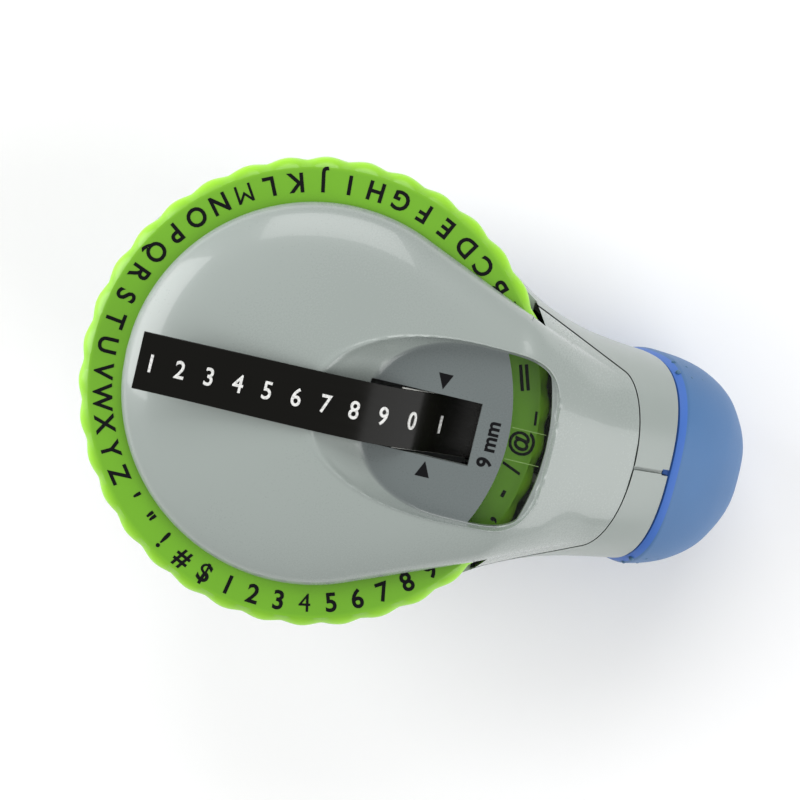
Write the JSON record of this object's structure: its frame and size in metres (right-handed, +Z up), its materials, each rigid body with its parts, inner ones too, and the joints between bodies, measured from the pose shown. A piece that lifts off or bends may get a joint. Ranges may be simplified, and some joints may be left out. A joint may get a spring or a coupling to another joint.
{
  "type": "embossing label maker",
  "caption": "Hand-held embossing label maker: round character dial under a domed cover, squeeze trigger below, tape bay in the handle behind a slide-off end cap.",
  "frame": {"origin": "bottom centre of the whole object, on the table it rests on", "axes": "+Z up along the dial's axis, +X from the dial towards the handle's end cap, +Y to the left of the handle"},
  "size_m": [0.1058, 0.072, 0.0576],
  "materials": {
    "shell": "pale warm grey moulded plastic, glossy",
    "lens": "clear moulded window",
    "metal": "pressed and turned steel",
    "chassis": "dark glass-filled plastic",
    "spring": "spring steel wire",
    "dial": "lime green moulded plastic",
    "dark": "black acetal",
    "white": "white acetal",
    "blue": "blue soft-touch plastic",
    "brass": "turned brass",
    "rubber": "black rubber tyre",
    "tape": "black embossing tape",
    "red": "red moulded plastic"
  },
  "bodies": {
    "casing": {"left_housing": "shell", "right_housing": "shell", "top_cover": "shell", "window_lens": "lens", "chassis": "chassis", "housing_screws": "metal", "cover_screws": "metal", "tape_guide": "white", "exit_chute": "white", "pinion_pin": "metal", "detent_spring": "spring", "trigger_pin": "metal", "trigger_spring": "spring", "lever_pins": "metal", "ram_bush": "brass", "ram_spring": "spring", "pinch_pin": "metal", "cutter_springs": "spring", "cutter_anvil": "metal", "roll_post": "metal", "tape_strip": "tape"},
    "dial": {"upper_dial": "dial"},
    "punch_ring": {"lower_punch_ring": "dark"},
    "pinion": {"sync_pinion": "white"},
    "trigger": {"trigger": "blue"},
    "press_lever": {"press_lever": "metal", "roller_pin": "metal", "pawl_pin": "metal", "pawl_spring": "spring"},
    "lever_roller": {"lever_roller": "white"},
    "ram": {"press_ram": "metal"},
    "feed": {"feed_roller": "rubber", "feed_shaft": "metal", "feed_ratchet": "white"},
    "pinch": {"pinch_roller": "white"},
    "pawl": {"feed_pawl": "metal"},
    "cutter": {"blade_holder": "red", "cutter_blade": "metal"},
    "roll": {"tape_roll": "tape", "tape_core": "white"},
    "cap": {"end_cap": "blue"}
  },
  "joints": [
    {"name": "dial_turn", "type": "hinge", "parent": "casing", "child": "dial", "pos_m": [-0.01685, 0, 0.0436], "axis": [0, 0, 1], "continuous": true, "deforming": ["detent_spring"]},
    {"name": "punch_ring_turn", "type": "hinge", "parent": "casing", "child": "punch_ring", "pos_m": [-0.01685, 0, 0.0382], "axis": [0, 0, 1], "continuous": true},
    {"name": "pinion_turn", "type": "hinge", "parent": "casing", "child": "pinion", "pos_m": [-0.04005, 0, 0.041], "axis": [0, 0, 1], "continuous": true},
    {"name": "trigger_squeeze", "type": "hinge", "parent": "casing", "child": "trigger", "pos_m": [-0.02985, 0, 0.0094], "axis": [0, -1, 0], "range_deg": [0, 9.5], "stiffness_Nm_per_rad": 0.4, "springref_deg": -20.05, "deforming": ["trigger_spring"]},
    {"name": "lever_press", "type": "hinge", "parent": "casing", "child": "press_lever", "pos_m": [0.02615, 0, 0.023], "axis": [0, 1, 0], "range_deg": [0, 13.65]},
    {"name": "lever_roller_turn", "type": "hinge", "parent": "press_lever", "child": "lever_roller", "pos_m": [0.00315, 0, 0.0175], "axis": [0, 1, 0], "continuous": true},
    {"name": "ram_lift", "type": "slide", "parent": "casing", "child": "ram", "axis": [0, 0, 1], "range_m": [0, 0.00279], "deforming": ["ram_spring"]},
    {"name": "pawl_swing", "type": "hinge", "parent": "press_lever", "child": "pawl", "pos_m": [0.01415, -0.0072, 0.022], "axis": [0, -1, 0], "range_deg": [0, 13.65]},
    {"name": "feed_turn", "type": "hinge", "parent": "casing", "child": "feed", "pos_m": [0.02415, 0, 0.0331], "axis": [0, -1, 0], "continuous": true},
    {"name": "pinch_turn", "type": "hinge", "parent": "casing", "child": "pinch", "pos_m": [0.02717, 0, 0.03988], "axis": [0, -1, 0], "continuous": true},
    {"name": "roll_turn", "type": "hinge", "parent": "casing", "child": "roll", "pos_m": [0.03545, 0, 0.0194], "axis": [0, -1, 0], "continuous": true},
    {"name": "cutter_lift", "type": "slide", "parent": "casing", "child": "cutter", "axis": [0, 0, 1], "range_m": [0, 0.0012], "stiffness_N_per_m": 300, "springref_m": -0.0015, "deforming": ["cutter_springs"]},
    {"name": "cap_slide", "type": "slide", "parent": "casing", "child": "cap", "axis": [1, 0, 0], "range_m": [0, 0.03]}
  ],
  "couplings": [
    {"joint": "punch_ring_turn", "follows": "dial_turn", "ratio": 1},
    {"joint": "pinion_turn", "follows": "dial_turn", "ratio": 5.8333},
    {"joint": "lever_press", "follows": "trigger_squeeze", "ratio": 1.4348},
    {"joint": "pawl_swing", "follows": "trigger_squeeze", "ratio": 1.4348},
    {"joint": "ram_lift", "follows": "trigger_squeeze", "m_per_rad": 0.016787},
    {"joint": "feed_turn", "follows": "roll_turn", "ratio": 2.6387},
    {"joint": "pinch_turn", "follows": "roll_turn", "ratio": -5.5455}
  ]
}
